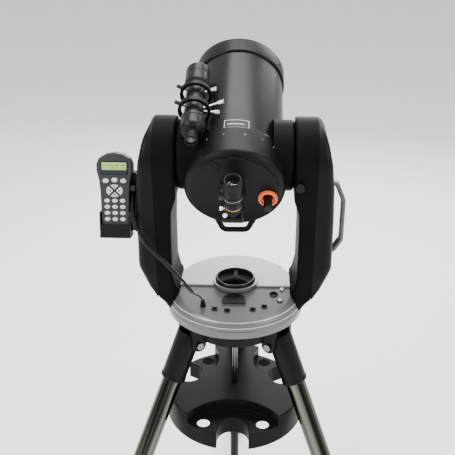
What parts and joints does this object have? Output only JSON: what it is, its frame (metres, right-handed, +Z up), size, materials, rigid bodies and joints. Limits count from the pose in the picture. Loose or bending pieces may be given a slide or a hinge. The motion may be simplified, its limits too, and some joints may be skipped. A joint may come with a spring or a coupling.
{
  "type": "schmidt cassegrain telescope",
  "caption": "Fork-mounted Schmidt-Cassegrain telescope with finder, star diagonal, focuser and hand control on a folding, extending steel tripod.",
  "frame": {"origin": "centre of the footprint on the floor", "axes": "+Z up, parallel to the azimuth axis; the user stands at -Y and faces +Y; +X is to the right"},
  "size_m": [0.8028, 0.7018, 1.4051],
  "materials": {
    "black_casting": "satin black paint on cast aluminium",
    "arm_black": "satin black powder coat",
    "cover_black": "fine textured black moulding",
    "silver_paint": "silver grey paint",
    "tube_grey": "dark grey satin paint",
    "black_plastic": "satin",
    "orange_collar": "satin",
    "leg_steel": "brushed, drawn tube",
    "bright_steel": "polished",
    "black_steel": "black oxide",
    "bronze": "machined",
    "foot_rubber": "matte",
    "lens_glass": "coated",
    "mirror_glass": "aluminised",
    "handset_grey": "fine texture",
    "key_rubber": "silicone, matte",
    "lcd": "gloss",
    "cord_black": "satin",
    "handle_grey": "satin"
  },
  "bodies": {
    "tripod": {"tripod_head": "black_casting", "tripod_bolts": "bright_steel", "center_rod": "black_steel", "base_plate": "silver_paint", "azimuth_wheel": "bronze"},
    "tray": {"leg_tray": "black_plastic"},
    "tension_knob": {"tension_knob": "black_plastic"},
    "mount": {"upper_base": "silver_paint", "port_sockets": "black_plastic", "fork_arm_left": "arm_black", "fork_arm_right": "arm_black", "arm_cover_left": "cover_black", "arm_cover_right": "cover_black", "carry_handle": "handle_grey", "handset_body": "handset_grey", "handset_screen": "lcd", "handset_cradle": "black_plastic", "keypad": "key_rubber", "handset_cord": "cord_black", "cord_tail": "cord_black", "cord_plug": "black_plastic"},
    "azimuth_worm": {"azimuth_worm": "bright_steel"},
    "azimuth_knob": {"azimuth_knob": "black_plastic"},
    "altitude_worm": {"altitude_worm": "bright_steel"},
    "altitude_knob": {"altitude_knob": "black_plastic"},
    "tube": {"rear_cell": "black_casting", "optical_tube": "tube_grey", "front_cell": "black_casting", "corrector_plate": "lens_glass", "secondary_mirror": "black_casting", "baffle_tube": "black_casting", "side_hubs": "arm_black", "altitude_wheel": "bronze", "focus_collar": "orange_collar", "finder_scope": "tube_grey", "finder_bracket": "black_casting", "thumb_screws": "bright_steel"},
    "mirror": {"primary_mirror": "mirror_glass"},
    "focus_knob": {"focus_knob": "black_plastic"},
    "diagonal": {"star_diagonal": "black_casting"},
    "eyepiece": {"eyepiece": "black_casting"},
    "leg_left": {"leg_castings_left": "black_casting", "leg_tube_left": "leg_steel"},
    "extension_left": {"leg_extension_left": "leg_steel", "leg_foot_left": "foot_rubber"},
    "clamp_left": {"clamp_knob_left": "black_plastic"},
    "leg_right": {"leg_castings_right": "black_casting", "leg_tube_right": "leg_steel"},
    "extension_right": {"leg_extension_right": "leg_steel", "leg_foot_right": "foot_rubber"},
    "clamp_right": {"clamp_knob_right": "black_plastic"},
    "leg_rear": {"leg_castings_rear": "black_casting", "leg_tube_rear": "leg_steel"},
    "extension_rear": {"leg_extension_rear": "leg_steel", "leg_foot_rear": "foot_rubber"},
    "clamp_rear": {"clamp_knob_rear": "black_plastic"},
    "key_up": {"key_up": "key_rubber"},
    "key_down": {"key_down": "key_rubber"},
    "key_left": {"key_left": "key_rubber"},
    "key_right": {"key_right": "key_rubber"}
  },
  "joints": [
    {"name": "leg_fold_left", "type": "hinge", "parent": "tripod", "child": "leg_left", "pos_m": [-0.10825, -0.17148, 0.704], "axis": [0.5, -0.866, 0], "range_deg": [0, 11]},
    {"name": "leg_extend_left", "type": "slide", "parent": "leg_left", "child": "extension_left", "axis": [-0.3342, -0.193, -0.9225], "range_m": [0, 0.3]},
    {"name": "clamp_turn_left", "type": "hinge", "parent": "leg_left", "child": "clamp_left", "pos_m": [-0.35757, -0.31542, 0.17715], "axis": [-0.7989, -0.4613, 0.3859], "range_deg": [0, 720]},
    {"name": "leg_fold_right", "type": "hinge", "parent": "tripod", "child": "leg_right", "pos_m": [0.10825, -0.17148, 0.704], "axis": [0.5, 0.866, 0], "range_deg": [0, 11]},
    {"name": "leg_extend_right", "type": "slide", "parent": "leg_right", "child": "extension_right", "axis": [0.3342, -0.193, -0.9225], "range_m": [0, 0.3]},
    {"name": "clamp_turn_right", "type": "hinge", "parent": "leg_right", "child": "clamp_right", "pos_m": [0.35757, -0.31542, 0.17715], "axis": [0.7989, -0.4613, 0.3859], "range_deg": [0, 720]},
    {"name": "leg_fold_rear", "type": "hinge", "parent": "tripod", "child": "leg_rear", "pos_m": [0, 0.01602, 0.704], "axis": [-1, 0, 0], "range_deg": [0, 11]},
    {"name": "leg_extend_rear", "type": "slide", "parent": "leg_rear", "child": "extension_rear", "axis": [0, 0.3859, -0.9225], "range_m": [0, 0.3]},
    {"name": "clamp_turn_rear", "type": "hinge", "parent": "leg_rear", "child": "clamp_rear", "pos_m": [0, 0.30391, 0.17715], "axis": [0, 0.9225, 0.3859], "range_deg": [0, 720]},
    {"name": "tray_drop", "type": "slide", "parent": "tripod", "child": "tray", "axis": [0, 0, -1], "range_m": [0, 0.196]},
    {"name": "tension_turn", "type": "hinge", "parent": "tray", "child": "tension_knob", "pos_m": [0, -0.10898, 0.372], "axis": [0, 0, -1], "range_deg": [0, 1080]},
    {"name": "azimuth_turn", "type": "hinge", "parent": "tripod", "child": "mount", "pos_m": [0, -0.10898, 0.792], "axis": [0, 0, 1], "continuous": true},
    {"name": "azimuth_worm_spin", "type": "hinge", "parent": "mount", "child": "azimuth_worm", "pos_m": [0, -0.02908, 0.802], "axis": [1, 0, 0], "continuous": true},
    {"name": "azimuth_lock_turn", "type": "hinge", "parent": "mount", "child": "azimuth_knob", "pos_m": [0, -0.10898, 0.842], "axis": [0, 0, 1], "range_deg": [0, 180]},
    {"name": "altitude_tilt", "type": "hinge", "parent": "mount", "child": "tube", "pos_m": [0, -0.10898, 1.178], "axis": [1, 0, 0], "range_deg": [-25, 66]},
    {"name": "altitude_worm_spin", "type": "hinge", "parent": "mount", "child": "altitude_worm", "pos_m": [0.156, -0.10898, 1.0981], "axis": [0, 1, 0], "range_deg": [-4600, 12000]},
    {"name": "altitude_lock_turn", "type": "hinge", "parent": "mount", "child": "altitude_knob", "pos_m": [0.1495, -0.20398, 1.134], "axis": [0, -1, 0], "range_deg": [0, 270]},
    {"name": "focus_turn", "type": "hinge", "parent": "tube", "child": "focus_knob", "pos_m": [0.077, -0.21824, 1.10315], "axis": [0, -0.9178, -0.3971], "range_deg": [-4860, 4860]},
    {"name": "mirror_slide", "type": "slide", "parent": "tube", "child": "mirror", "axis": [0, 0.9178, 0.3971], "range_m": [-0.01, 0.01]},
    {"name": "diagonal_turn", "type": "hinge", "parent": "tube", "child": "diagonal", "pos_m": [0, -0.24334, 1.11081], "axis": [0, -0.9178, -0.3971], "range_deg": [-90, 90]},
    {"name": "eyepiece_slide", "type": "slide", "parent": "diagonal", "child": "eyepiece", "axis": [0, -0.3971, 0.9178], "range_m": [0, 0.026]},
    {"name": "key_up_press", "type": "slide", "parent": "mount", "child": "key_up", "axis": [0, 0.9781, -0.2079], "range_m": [0, 0.0012], "stiffness_N_per_m": 900, "springref_m": -0.0002},
    {"name": "key_down_press", "type": "slide", "parent": "mount", "child": "key_down", "axis": [0, 0.9781, -0.2079], "range_m": [0, 0.0012], "stiffness_N_per_m": 900, "springref_m": -0.0002},
    {"name": "key_left_press", "type": "slide", "parent": "mount", "child": "key_left", "axis": [0, 0.9781, -0.2079], "range_m": [0, 0.0012], "stiffness_N_per_m": 900, "springref_m": -0.0002},
    {"name": "key_right_press", "type": "slide", "parent": "mount", "child": "key_right", "axis": [0, 0.9781, -0.2079], "range_m": [0, 0.0012], "stiffness_N_per_m": 900, "springref_m": -0.0002}
  ],
  "couplings": [
    {"joint": "leg_fold_right", "follows": "leg_fold_left", "ratio": 1},
    {"joint": "leg_fold_rear", "follows": "leg_fold_left", "ratio": 1},
    {"joint": "tray_drop", "follows": "leg_fold_left", "m_per_rad": 1.0157},
    {"joint": "azimuth_worm_spin", "follows": "azimuth_turn", "ratio": 180},
    {"joint": "altitude_worm_spin", "follows": "altitude_tilt", "ratio": 180},
    {"joint": "focus_turn", "follows": "mirror_slide", "rad_per_m": 8377.6}
  ]
}
